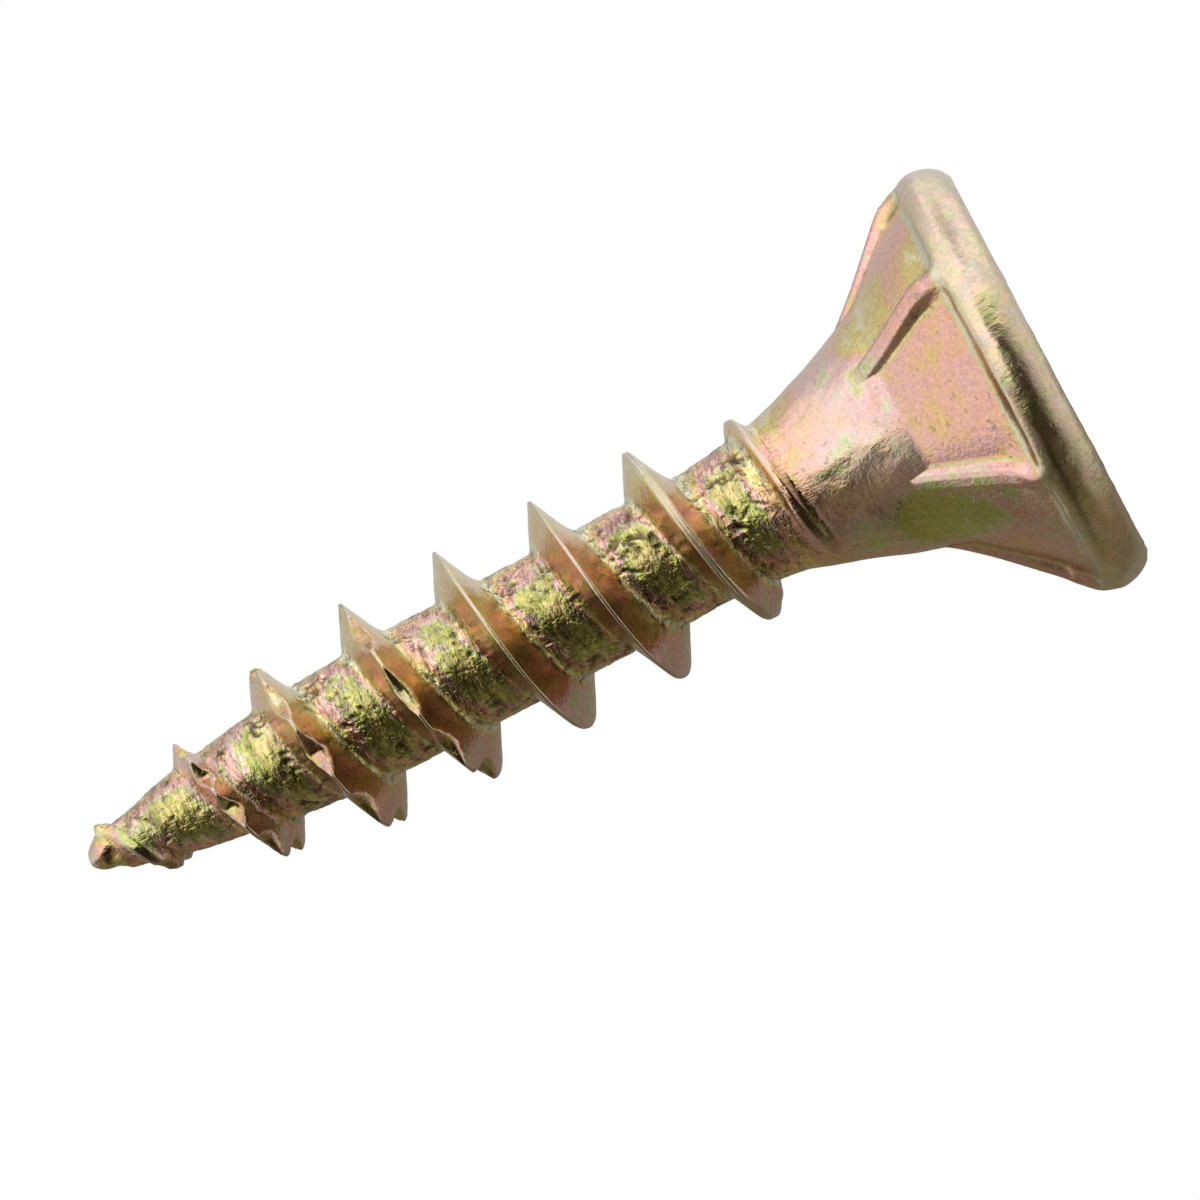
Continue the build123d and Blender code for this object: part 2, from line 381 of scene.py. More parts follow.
def head_profiles():
    """Matched (radius, z) rows of the pocket's and the rib's profiles, from the neck to the face's edge."""
    rib_start = SEAT[0][0]
    pocket, rib = [], []
    for share in np.arange(1, NECK_ROWS + 1) / NECK_ROWS:
        for profile, end in ((pocket, FLOOR_NECK_END[1]), (rib, rib_start)):
            z = mix(THREAD_HIGH_Z, end, share)
            profile.append((float(core_radius(z)), z))
    pocket += line(pocket[-1], FLOOR_RIM_END, CONE_ROWS) + line(FLOOR_RIM_END, RIM_LOW, LEDGE_ROWS)
    rib += seat_line(rib_start, CONE_ROWS)
    rib += line(rib[-1], RIM_LOW, LEDGE_ROWS)
    rim = rim_arc(RIM_ROWS) + line(RIM_CORNER, (FACE_EDGE_R, 0.0), FACE_EDGE_ROWS)
    return np.array(pocket + rim), np.array(rib + rim)


def softened(grid):
    """The grid of rings with its corners rounded at the ledge, by averaging neighbours."""
    fade, pull = 0.05, 0.7
    z = grid[1:-1, :, 2:]
    weight = smooth_step(LEDGE_LOW_Z - fade, LEDGE_LOW_Z, z)
    weight *= smooth_step(LEDGE_HIGH_Z + fade, LEDGE_HIGH_Z, z)
    for _ in range(LEDGE_PASSES):
        beside = (np.roll(grid, 1, axis=1) + np.roll(grid, -1, axis=1))[1:-1]
        mean = (grid[:-2] + grid[2:] + beside) / 4
        grid[1:-1] += pull * weight * (mean - grid[1:-1])
    return grid


def add_head(surface, ring):
    """Neck, pockets, ribs and rim above the thread's top ring. Returns the ring at the face's edge."""
    pocket, rib = head_profiles()
    share = rib_share()[:, None]
    grid = []
    for low, top in zip(pocket, rib):
        profile = mix(low, top, share)
        aligned = float(smooth_step(THREAD_HIGH_Z, ALIGNED_Z, low[1]))
        angles = rib_angles(max(low[0], 1.0), aligned)
        grid.append(polar(profile[:, 0], angles, profile[:, 1]))
    feet = rib_feet()
    below = ring
    for points in softened(np.array(grid)):
        z = points[:, 2]
        rubbed = feet * smooth_step(*RUBBED_FEET_START, z) * smooth_step(*RUBBED_FEET_END, z)
        above = surface.add(points, worn=rubbed, region=HEAD)
        surface.bridge(below, above)
        below = above
    return below


# Drive recess: a cross recess of type Z, with four flutes between its wings and four marks on the face

WING_REACH, WING_FLOOR_REACH = 1.95, 1.05
WING_HALF, WING_FLOOR_HALF = 0.49, 0.40
FLUTE_REACH, FLUTE_FLOOR_REACH = 1.25, 0.78
FLUTE_HALF, FLUTE_FLOOR_HALF = 0.18, 0.12
RECESS_DEPTH, RECESS_CONE_DEPTH = 1.75, 0.35
RECESS_INNER_SHARE, RECESS_INNER_DEPTH = 0.5, 0.12
RECESS_LIP = 0.05
MARK_START, MARK_END, MARK_FADE = 1.55, 2.35, 0.06
MARK_HALF, MARK_DEPTH = 0.085, 0.07


def recess_corners(reach, half, flute_reach, flute_half):
    """The corners of one quarter of the recess outline, from the wing along +X towards the wing along +Y."""
    diagonal = flute_reach / math.sqrt(2)
    side = flute_half / math.sqrt(2)
    step = max(half + 2 * side, half + 0.02)
    return [(reach, half), (step, half), (diagonal + side, diagonal - side),
            (diagonal - side, diagonal + side), (half, step), (half, reach)]


def mark_depth(points):
    """Depth of the four short grooves that point between the wings."""
    x, y = np.abs(points[:, 0]), np.abs(points[:, 1])
    along, across = (x + y) / math.sqrt(2), np.abs(x - y) / math.sqrt(2)
    ends = smooth_step(MARK_START - MARK_FADE, MARK_START, along)
    ends *= smooth_step(MARK_END + MARK_FADE, MARK_END, along)
    return MARK_DEPTH * ends * np.clip(1 - across / MARK_HALF, 0, 1)


def add_face(surface, ring):
    """The flat face from its edge to the recess, and the recess itself."""
    angles = rib_angles(FACE_EDGE_R, 1.0)
    top = recess_corners(WING_REACH, WING_HALF, FLUTE_REACH, FLUTE_HALF)
    low = recess_corners(WING_FLOOR_REACH, WING_FLOOR_HALF, FLUTE_FLOOR_REACH, FLUTE_FLOOR_HALF)
    reference = [math.degrees(math.atan2(y, x)) for x, y in top]
    corner_angles = np.array([a + 90.0 * q for q in range(4) for a in reference])
    columns = [int(np.argmin(np.abs((angles - a + 180) % 360 - 180))) for a in corner_angles]

    def outline(corners, z):
        points = np.empty((COLUMNS, 3))
        turned = []
        for q in range(4):
            c, s = math.cos(q * math.pi / 2), math.sin(q * math.pi / 2)
            turned += [np.array((x * c - y * s, x * s + y * c, z)) for x, y in corners]
        for n, (start, end) in enumerate(zip(columns, columns[1:] + columns[:1])):
            span = (end - start) % COLUMNS
            for i in range(span):
                points[(start + i) % COLUMNS] = mix(turned[n], turned[(n + 1) % len(turned)], i / span)
        return points

    lip = outline(top, 0.0)
    edge = polar(FACE_EDGE_R, angles, 0.0)
    outer = lip + (lip / np.linalg.norm(lip, axis=1)[:, None]) * RECESS_LIP
    below = ring
    for share in np.linspace(0, 1, FACE_ROWS + 1)[1:]:
        points = mix(edge, outer, share)
        points[:, 2] -= mark_depth(points)
        above = surface.add(points, region=FACE)
        surface.bridge(below, above)
        below = above
    sunk = lip.copy()
    sunk[:, 2] = -RECESS_LIP
    floor = outline(low, -RECESS_DEPTH)
    for share in RECESS_SHARES:
        above = surface.add(mix(sunk, floor, share), region=RECESS)
        surface.bridge(below, above)
        below = above
    inner = floor * RECESS_INNER_SHARE
    inner[:, 2] = -RECESS_DEPTH - RECESS_INNER_DEPTH
    above = surface.add(inner, region=RECESS)
    surface.bridge(below, above)
    centre = surface.add((0.0, 0.0, -RECESS_DEPTH - RECESS_CONE_DEPTH), region=RECESS)[0]
    surface.fan(above, centre, up=True)


def build_surface():
    surface = Surface()
    low_ring, high_ring = add_thread(surface)
    add_nose(surface, low_ring)
    add_face(surface, add_head(surface, high_ring))
    return surface


# Relief: what rolling, upsetting and handling left on the surface

# Noises in the shape: a height in mm, for the nose a share of its radius, then features per mm, octaves and
# a seed
WAVES = (0.010, 0.9, 2, 4)
ROLLED_STREAKS = (0.010, 3.4, 3, 6)
DRAWN_STREAKS, FINE_DRAWN_STREAKS = (0.013, 2.4, 3, 28), (0.006, 6.0, 2, 31)
FLANK_GRAIN = (0.004, 6.0, 2, 9)
CUT_TEARS = (0.022, 5.0, 2, 15)
RIM_DENTS, RIM_GRAIN = (0.012, 1.3, 2, 10), (0.010, 4.0, 2, 11)
NOSE_LUMPS = (0.16, 3.2, 2, 12)

# Noises that place flakes and break the fold: features per mm, octaves and a seed
FLAKES, FLAKE_HEIGHT = (1.5, 3, 13), 0.011
FOLD_BREAKS = (1.2, 1, 14)
CRACK_SEEDS, CRACK_DEPTH = (8, 40), 0.040

# Where each relief starts and where it is full, the last two by height above the core
ROOT_TOP, ROOT_LOW_END = (-4.25, -4.6), (-15.75, -15.35)
NECK_START, NECK_END = (-4.3, -4.0), (-2.3, -2.6)
FOLD_TOP = (-10.5, -12.0)
ROOT_STAND, FLANK_STAND = (0.14, 0.02), (0.05, 0.2)

FOLD_HEIGHT, FOLD_OFFSET, FOLD_WIDTH = 0.022, 0.43, 0.022
BARE_NECK_STAND = 0.02
TURN_EASE = [(-1.1, 0.07), (0.0, 0.0), (1.1, -0.16)]
TURN_LEAN = 0.33
TURN_START, TURN_END = (-4.95, -4.40), (-3.00, -3.60)
RIM_SHIFT_Z = (-1.35, -0.8)
NOSE_STRETCH, STRETCH_Z = 0.07, (-15.6, -16.0)
NOSE_TAPER, TAPER_Z = 0.22, (-15.72, -15.95)
PINCH_BULGE, PINCH_HOLLOW, PINCH_Z = 0.22, 0.10, (-15.25, -15.75)
PINCH_BULGE_Z, PINCH_BULGE_REACH = -15.72, 0.14


def field(points, scale, octaves=3, seed=0.0):
    """Fractal noise at points in mm, about -1 to 1, with scale features per millimetre."""
    shift = Vector((seed * 17.3, seed * 7.9, seed * 31.1))
    if octaves == 1:
        return np.array([noise.noise(Vector(p) + shift) for p in points * scale])
    return np.array([noise.fractal(Vector(p) + shift, 0.9, 2.1, octaves) for p in points * scale])


def bumps(points, height, *noise_settings):
    return height * field(points, *noise_settings)


def gashes(points, seed):
    """Short tapering lines, 1 along their middles: where a warped noise crosses zero, inside patches."""
    warp = np.stack([field(points, 2.2, 2, seed + n) for n in (1, 2, 3)], axis=-1)
    height = field(points + 0.14 * warp, 1.9, 3, seed)
    width = 0.16 * np.clip(field(points, 2.6, 2, seed + 4) + 0.12, 0.0, 0.7) + 1e-4
    return smooth_step(1.0, 0.2, np.abs(height) / width) * smooth_step(0.0, 0.05, width)


def relief(points, notes):
    """How far each vertex moves along its normal, in mm, and how deep it lies in a crack."""
    stand, offset, worn, cut, region = notes.T
    shank = region == SHANK
    z = points[:, 2]
    root = np.where(shank, smooth_step(*ROOT_STAND, stand), 0.0) * smooth_step(*ROOT_TOP, z)
    root *= smooth_step(*ROOT_LOW_END, z)
    neck = smooth_step(*NECK_START, z) * smooth_step(*NECK_END, z)
    neck *= stand < BARE_NECK_STAND
    flank = np.where(shank, smooth_step(*FLANK_STAND, stand), 0.0)
    rim = np.where(region == HEAD, smooth_step(-1.0, -0.8, z), 0.0)
    move = bumps(points, *WAVES) * np.where(shank, 1.0, 0.5)
    flakes = smooth_step(-0.05, 0.05, field(points, *FLAKES)) - 0.5
    move += root * (bumps(points * (1.0, 1.0, 2.6), *ROLLED_STREAKS) + FLAKE_HEIGHT * flakes)
    crack = np.maximum(*(gashes(points, seed) for seed in CRACK_SEEDS)) * root
    move -= CRACK_DEPTH * crack
    fold = bump_at(offset, FOLD_OFFSET, FOLD_WIDTH) * smooth_step(*FOLD_TOP, z)
    fold = fold * smooth_step(-0.2, 0.1, field(points, *FOLD_BREAKS))
    move += FOLD_HEIGHT * fold * np.where(shank, 1.0, 0.0)
    drawn = points * (1.0, 1.0, 0.22)
    move += neck * (bumps(drawn, *DRAWN_STREAKS) + bumps(drawn, *FINE_DRAWN_STREAKS))
    move += flank * (bumps(points, *FLANK_GRAIN) + cut * bumps(points, *CUT_TEARS))
    move += rim * (bumps(points, *RIM_DENTS) + bumps(points, *RIM_GRAIN))
    return np.where(region >= FACE, 0.0, move), crack


def shifted_rim(points, notes):
    """The upset rim sits slightly off the shank's axis."""
    share = np.where(notes[:, 4] >= HEAD, smooth_step(*RIM_SHIFT_Z, points[:, 2]), 0.0)
    share = np.where(notes[:, 4] >= FACE, 1.0, share)
    points[:, 0] += RIM_OFF_CENTRE * share
    return points


def eased_turn(points):
    """The last turn lies squarer to the axis than the others, by TURN_EASE's shifts along z at each x."""
    x, y, z = points.T
    along = z - TURN_LEAN * x
    share = smooth_step(*TURN_START, along) * smooth_step(*TURN_END, along)
    return np.stack([x, y, z + share * np.interp(x, *zip(*TURN_EASE))], axis=-1)


def pinched_nose(points):
    """The point narrows to a tip that leans and carries the lump left where it was pinched off."""
    x, y, z = points.T
    low = smooth_step(*PINCH_Z, z)
    side = -x / np.maximum(np.hypot(x, y), 1e-6)
    grow = PINCH_BULGE * bump_at(z, PINCH_BULGE_Z, PINCH_BULGE_REACH) * side
    grow -= PINCH_HOLLOW * low * np.clip(-side, 0, 1)
    lump = 1 + low * (grow + bumps(points, *NOSE_LUMPS)) - NOSE_TAPER * smooth_step(*TAPER_Z, z)
    return np.stack([x * lump, y * lump, z - NOSE_STRETCH * smooth_step(*STRETCH_Z, z)], axis=-1)


# Maps that the finish reads, one value per vertex

# Noises in the film's place: how far they shift it, features per mm, octaves and a seed
ACROSS_WARP = (0.13, 1.1, 3, 21)
ROOT_CLOUDS, WIDE_ROOT_CLOUDS = (0.09, 1.9, 3, 22), (0.15, 0.42, 1, 29)
FLANK_CLOUDS = (0.20, 0.9, 2, 23)

# The film of whole regions: its middle place, then a noise as above
HEAD_FILM = (0.53, 0.26, 0.7, 3, 20)
POINT_FILM = (0.95, 0.12, 1.6, 2, 25)
NOSE_FILM = (0.36, 0.30, 3.0, 2, 32)
CUT_FILM = (0.30, 0.40, 3.0, 2, 27)
RIM_FILM = (0.42, 0.36, 2.6, 3, 24)
FLANK_FILM, RIGHT_FLANK_GAIN, LEFT_FLANK_LOSS = 0.34, 0.28, 0.10
POINT_Z, NOSE_Z, LOW_FLANKS_Z = (-12.6, -13.8), (-15.40, -15.60), (-11.2, -12.4)
FLANK_FILM_STAND = (0.05, 0.22)

# Noises that break the ledge's wear and painted highlight and place the neck's scuffs and painted highlight:
# features per mm, octaves and a seed
LEDGE_WEAR_AND_HIGHLIGHT_BREAKS = (4.0, 2, 30)
SCUFF_AND_HIGHLIGHT_CLOUDS = (1.6, 2, 26)

# The film from one turn's foot across the root to the next turn's foot
ROOT_FILM = [(0.00, 0.22), (0.05, 0.34), (0.11, 0.58), (0.18, 0.68), (0.30, 0.84), (0.42, 0.96), (0.75, 1.00),
             (0.88, 0.88), (0.95, 0.60), (1.00, 0.36)]
ROOT_FOOT = 0.35

# Patches on the neck and head: angle, half width in degrees, z and half height
GREEN_PATCH = (-43, 25, -2.40, 0.80)
YELLOW_PATCH = (-148, 20, -2.1, 0.60)
BROWN_PATCH = (-70, 14, -3.4, 0.60)
# The ledge's film is a pale band along the ledge: wear, and a painted highlight
GREEN_FILM, YELLOW_FILM, BROWN_FILM, WORN_FILM, LEDGE_WEAR_AND_HIGHLIGHT_FILM = 0.86, 0.25, 0.36, 0.20, 0.06

# Painted shade: dark comb strokes standing for the shaded sides of small radial ribs
COMB_Z, COMB_HEIGHT = -4.16, 0.07
COMB_X, COMB_REACH = -0.22, 0.30
COMB_PER_MM = 85.0

# A yellower ring on the neck, and the zone under the head paled both for scuffs and as a painted highlight
NECK_RING_LOSS, NECK_RING_Z, NECK_RING_HALF = 0.16, -2.14, 0.05
SCUFFED_AND_HIGHLIT_Z, SCUFFED_AND_HIGHLIT_HALF, SCUFFED_AND_HIGHLIT_SHARE = -3.0, 0.75, 0.8


def clouded(points, middle, *noise_settings):
    return middle + bumps(points, *noise_settings)


def patch_share(points, patch):
    """How far each point belongs to a soft patch."""
    middle, width, z, height = patch
    away = np.degrees(np.arctan2(points[:, 1], points[:, 0])) - middle
    near = bump_at((away + 180) % 360 - 180, 0, width) * bump_at(points[:, 2], z, height)
    return smooth_step(0.2, 0.7, near)


def shank_film(points, stand, offset, cut):
    """The film's place on the threaded part, by how far across the root or up the flank each point is."""
    x, y, z = points.T
    across = ((offset - ROOT_FOOT) % PITCH) / (PITCH - 2 * ROOT_FOOT)
    across = np.clip(across, 0, 1) + bumps(points * (1.0, 1.0, 1.8), *ACROSS_WARP)
    film = np.interp(across, *zip(*ROOT_FILM)) + bumps(points, *ROOT_CLOUDS)
    film += bumps(points, *WIDE_ROOT_CLOUDS)
    film = mix(film, clouded(points, *POINT_FILM), 0.7 * smooth_step(*POINT_Z, z))
    share = smooth_step(*FLANK_FILM_STAND, stand) * (1 - 0.65 * smooth_step(*LOW_FLANKS_Z, z))
    flank = FLANK_FILM + RIGHT_FLANK_GAIN * smooth_step(0.75, 1.25, x)
    flank -= LEFT_FLANK_LOSS * smooth_step(-0.9, -1.3, x)
    film = mix(film, clouded(points, flank, *FLANK_CLOUDS), share)
    film = mix(film, clouded(points, *NOSE_FILM), smooth_step(*NOSE_Z, z))
    return mix(film, clouded(points, *CUT_FILM), cut)


def film_map(points, notes):
    """The finish's base place on its colour scale, from 0 pale to 1 gold again, by region."""
    stand, offset, worn, cut, region = notes.T
    z = points[:, 2]
    shank, head = region == SHANK, region == HEAD
    threaded = np.where(shank, smooth_step(-4.3, -4.9, z), 0.0)
    film = mix(clouded(points, *HEAD_FILM), shank_film(points, stand, offset, cut), threaded)
    film = mix(film, YELLOW_FILM, np.where(shank, 0, patch_share(points, YELLOW_PATCH)))
    film -= np.where(head, NECK_RING_LOSS * bump_at(z, NECK_RING_Z, NECK_RING_HALF), 0.0)
    film = mix(film, GREEN_FILM, np.where(shank, 0, patch_share(points, GREEN_PATCH)))
    film = mix(film, BROWN_FILM, 0.7 * patch_share(points, BROWN_PATCH))
    film = mix(film, WORN_FILM, np.where(shank, 0, worn))
    rim = np.where(head, smooth_step(-0.85, -0.78, z), 0.0)
    film = mix(film, clouded(points, *RIM_FILM), rim)
    # pale band along the ledge: wear, and a painted highlight
    return mix(film, LEDGE_WEAR_AND_HIGHLIGHT_FILM, np.where(head, 0.9 * bump_at(z, -0.85, 0.05), 0.0))


def worn_map(points, notes):
    """Where the film is worn through to grey zinc: crest, cut edges, ribs' feet, ledge and tip; along the
    ledge this is also a painted highlight.
    """
    stand, offset, worn, cut, region = notes.T
    z = points[:, 2]
    # bare zinc along the ledge: wear, and a painted highlight
    ledge = 0.9 * bump_at(z, -0.84, 0.06) * smooth_step(-0.5, 0.1, field(points, *LEDGE_WEAR_AND_HIGHLIGHT_BREAKS))
    worn = np.where(region == HEAD, np.maximum(0.35 * worn, ledge), worn)
    return np.where(region == SHANK, np.maximum(worn, 0.8 * smooth_step(-15.86, -15.98, z)), worn)


def comb_shade_map(points):
    """Short dark strokes side by side where the last turn meets the neck: painted shade standing for the
    shaded sides of small radial ribs.
    """
    x, y, z = points.T
    comb = bump_at(z, COMB_Z, COMB_HEIGHT) * bump_at(x, COMB_X, COMB_REACH) * (y < 0)
    return comb * smooth_step(-0.1, 0.1, np.sin(x * COMB_PER_MM))


def finish_maps(points, notes, crack):
    stand, offset, worn, cut, region = notes.T
    z = points[:, 2]
    shank = region == SHANK
    root = np.where(shank, smooth_step(*ROOT_STAND, stand) * smooth_step(-4.15, -4.5, z), 0.0)
    root *= mix(0.30, 1.0, smooth_step(-15.6, -15.1, z))
    neck = bump_at(z, -4.05, 0.15) * np.where(stand < BARE_NECK_STAND, 0.4, 0.0)
    rim = np.where(region == HEAD, smooth_step(-0.92, -0.80, z), 0.6 * (region >= FACE))
    # scuffs, and paleness painted for the neck's highlight
    scuffed_and_highlit = SCUFFED_AND_HIGHLIT_SHARE * bump_at(z, SCUFFED_AND_HIGHLIT_Z, SCUFFED_AND_HIGHLIT_HALF)
    scuffed_and_highlit *= np.clip(0.9 + 0.9 * field(points, *SCUFF_AND_HIGHLIGHT_CLOUDS), 0, 1)
    scuffed_and_highlit *= 1 - np.maximum(patch_share(points, GREEN_PATCH), patch_share(points, YELLOW_PATCH))
    return {
        "film": film_map(points, notes),
        "worn": worn_map(points, notes),
        # The crack map holds real cracks, plus painted shade: the notch facets (0.30 of cut) and the comb
        # strokes
        "crack": np.maximum.reduce([crack, 0.30 * cut, 0.45 * comb_shade_map(points)]),
        "rough": np.maximum(root, neck + 0.5 * cut),
        "rim": rim,
        # pale: the rim's tint, and on the neck scuffs together with a painted highlight
        "pale": np.maximum(rim, np.where(stand < BARE_NECK_STAND, scuffed_and_highlit, 0.0)),
        "flank": np.where(shank, smooth_step(*FLANK_FILM_STAND, stand), 0.0),
    }


def make_screw():
    surface = build_surface()
    points, notes = np.concatenate(surface.points), np.concatenate(surface.notes)
    points = pinched_nose(eased_turn(shifted_rim(points, notes)))
    mesh = bpy.data.meshes.new("wood_screw")
    mesh.from_pydata((points * MM).tolist(), [], [tuple(int(v) for v in face) for face in surface.faces])
    mesh.update()
    normals = np.empty(len(points) * 3, np.float32)
    mesh.vertices.foreach_get("normal", normals)
    move, crack = relief(points, notes)
    points = points + normals.reshape(-1, 3) * move[:, None]
    mesh.vertices.foreach_set("co", (points * MM).astype(np.float32).ravel())
    mesh.update()
    for name, values in finish_maps(points, notes, crack).items():
        attribute = mesh.attributes.new(name, "FLOAT", "POINT")
        attribute.data.foreach_set("value", np.asarray(values, np.float32))
    mesh.shade_smooth()
    piece = bpy.data.objects.new("wood_screw", mesh)
    bpy.context.scene.collection.objects.link(piece)
    return piece


# Finish

# Colours of the film, from pale silver through yellow, pink and green to gold
FILM_STOPS = [
    (0.00, (0.78, 0.74, 0.62)),
    (0.14, (0.74, 0.66, 0.42)),
    (0.26, (0.64, 0.54, 0.20)),
    (0.38, (0.70, 0.46, 0.24)),
    (0.50, (0.74, 0.42, 0.33)),
    (0.62, (0.70, 0.42, 0.42)),
    (0.72, (0.62, 0.54, 0.36)),
    (0.81, (0.46, 0.49, 0.17)),
    (0.90, (0.54, 0.50, 0.17)),
    (1.00, (0.64, 0.50, 0.25)),
]
LEAST_FILM = 0.12
TILT_POWER, ROUGH_TILT_SHIFT, FLANK_TILT_CUT = 1.1, 0.8, 0.6

BARE_ZINC = (0.50, 0.47, 0.42, 1)
# Pale zinc: the rim's tint, and on the neck scuffs and a painted highlight
PALE_ZINC_AND_HIGHLIGHT = (0.62, 0.59, 0.50, 1)
PATINA = (0.42, 0.43, 0.29, 1)
# Near-black: dirt in pores and cracks, and painted shade on the notch facets and the comb strokes
DIRT_AND_PAINTED_SHADE = (0.07, 0.045, 0.02, 1)
SPECK = (0.26, 0.25, 0.15, 1)

# Noises in the finish: features per mm, detail, roughness and distortion, then the noise's low and high
# limits and, where they aren't 0 and 1, the values those stand for
PATCHES = (1.6, 3.0, 0.6, 0.4), (0.25, 0.75, -0.14, 0.14)
MOTTLE = (5.5, 4.0, 0.65, 0.6), (0.3, 0.7, -0.10, 0.10)
FIBRES = (13.0, 3.0, 0.6), (0.3, 0.7, -0.13, 0.13)
BRIGHTNESS = (16.0, 4.0, 0.7), (0.32, 0.68, 0.78, 1.12)
# Painted light: mottles that brighten and darken the rough parts' colour, standing for highlights and shade
PAINTED_MOTTLED_LIGHT = (7.0, 3.0, 0.65, 0.5), (0.36, 0.64, -0.40, 0.30)
PORES = (13.0, 4.0, 0.68, 0.3), (0.45, 0.37)
SPECKS = (7.5, 3.0, 0.6, 0.3), (0.63, 0.68)
SCUFFS = (11.0, 3.0, 0.6, 0.8), (0.64, 0.70)
PATINA_SPOTS = (6.0, 4.0, 0.7, 0.4), (0.45, 0.58)
GRIT = (14.0, 3.0, 0.7), (0.38, 0.62, 0.30, 1.0)
GLOSS = (5.0, 3.0), (0.3, 0.7, 0.05, 0.13)

# How far each layer covers what is under it, where its noise or map is full
PORE_DIRT, SPECK_COVER, SCUFF_COVER, PALE_COVER, PATINA_COVER, CRACK_AND_SHADE_DARKENING = 0.6, 0.55, 0.6, 0.45, 0.5, 0.85
RIM_ROUGHNESS = 0.14

# Grain in the bump: features per mm, detail, roughness and distortion
DRAWN_GRAIN = (20.0, 3.0, 0.6)
ROLLED_GRAIN = (24.0, 3.0, 0.6)
BROAD_GRAIN = (7.0, 2.0, 0.6, 0.5)
GRAIN_HEIGHT = 0.020
SMOOTH_GRAIN_STRENGTH, SPECK_DENT = 0.28, 0.5


class Nodes:
    """A short way to write a shader's nodes and links."""

    def __init__(self, tree):
        self.tree = tree

    def add(self, kind, **settings):
        node = self.tree.nodes.new(kind)
        for name, value in settings.items():
            setattr(node, name, value)
        return node

    def plug(self, target, source):
        if hasattr(source, "is_output"):
            self.tree.links.new(source, target)
        else:
            target.default_value = source

    def math(self, operation, *values, clamp=False):
        node = self.add("ShaderNodeMath", operation=operation, use_clamp=clamp)
        for target, value in zip(node.inputs, values):
            self.plug(target, value)
        return node.outputs[0]

    def times(self, *values, clamp=False):
        return self.math("MULTIPLY", *values, clamp=clamp)

    def scaled(self, vector, factors):
        node = self.add("ShaderNodeVectorMath", operation="MULTIPLY")
        self.plug(node.inputs[0], vector)
        self.plug(node.inputs[1], factors)
        return node.outputs[0]

    def together(self, value):
        node = self.add("ShaderNodeCombineXYZ")
        for target in node.inputs:
            self.plug(target, value)
        return node.outputs[0]

    def attribute(self, name):
        return self.add("ShaderNodeAttribute", attribute_name=name).outputs["Fac"]

    def noise(self, place, scale, detail=2.0, roughness=0.5, distortion=0.0):
        node = self.add("ShaderNodeTexNoise")
        self.plug(node.inputs["Vector"], place)
        node.inputs["Scale"].default_value = scale
        node.inputs["Detail"].default_value = detail
        node.inputs["Roughness"].default_value = roughness
        node.inputs["Distortion"].default_value = distortion
        return node.outputs["Fac"]

    def blotches(self, place, settings, limits):
        return self.spread(self.noise(place, *settings), *limits)

    def ramp(self, value, stops):
        node = self.add("ShaderNodeValToRGB")
        elements = node.color_ramp.elements
        while len(elements) < len(stops):
            elements.new(0.5)
        for element, (place, colour) in zip(elements, stops):
            element.position = place
            element.color = (*colour, 1)
        self.plug(node.inputs["Fac"], value)
        return node.outputs["Color"]

    def mix(self, share, first, second):
        node = self.add("ShaderNodeMix", data_type="RGBA")
        self.plug(node.inputs["Factor"], share)
        self.plug(node.inputs["A"], first)
        self.plug(node.inputs["B"], second)
        return node.outputs["Result"]

    def spread(self, value, low, high, to_low=0.0, to_high=1.0):
        node = self.add("ShaderNodeMapRange")
        for target, part in zip(node.inputs, (value, low, high, to_low, to_high)):
            self.plug(target, part)
        return node.outputs[0]


def film_colour(nodes, place, streaked, rough):
    """The film's colour: its map, broken up by noise, and shifted back where the surface tilts away."""
    patches, mottle = nodes.blotches(place, *PATCHES), nodes.blotches(place, *MOTTLE)
    fibres = nodes.blotches(streaked, *FIBRES)
    film = nodes.attribute("film")
    for part in (patches, mottle, nodes.times(fibres, rough)):
        film = nodes.math("ADD", film, part)
    facing = nodes.add("ShaderNodeLayerWeight").outputs["Facing"]
    on_flank = nodes.times(nodes.attribute("flank"), FLANK_TILT_CUT)
    tilted = nodes.math("MAXIMUM", nodes.math("SUBTRACT", facing, on_flank), 0.0)
    reach = nodes.spread(rough, 0.0, 1.0, 0.0, ROUGH_TILT_SHIFT)
    shift = nodes.times(nodes.math("POWER", tilted, TILT_POWER), reach)
    return nodes.ramp(nodes.math("MAXIMUM", nodes.math("SUBTRACT", film, shift), LEAST_FILM), FILM_STOPS)


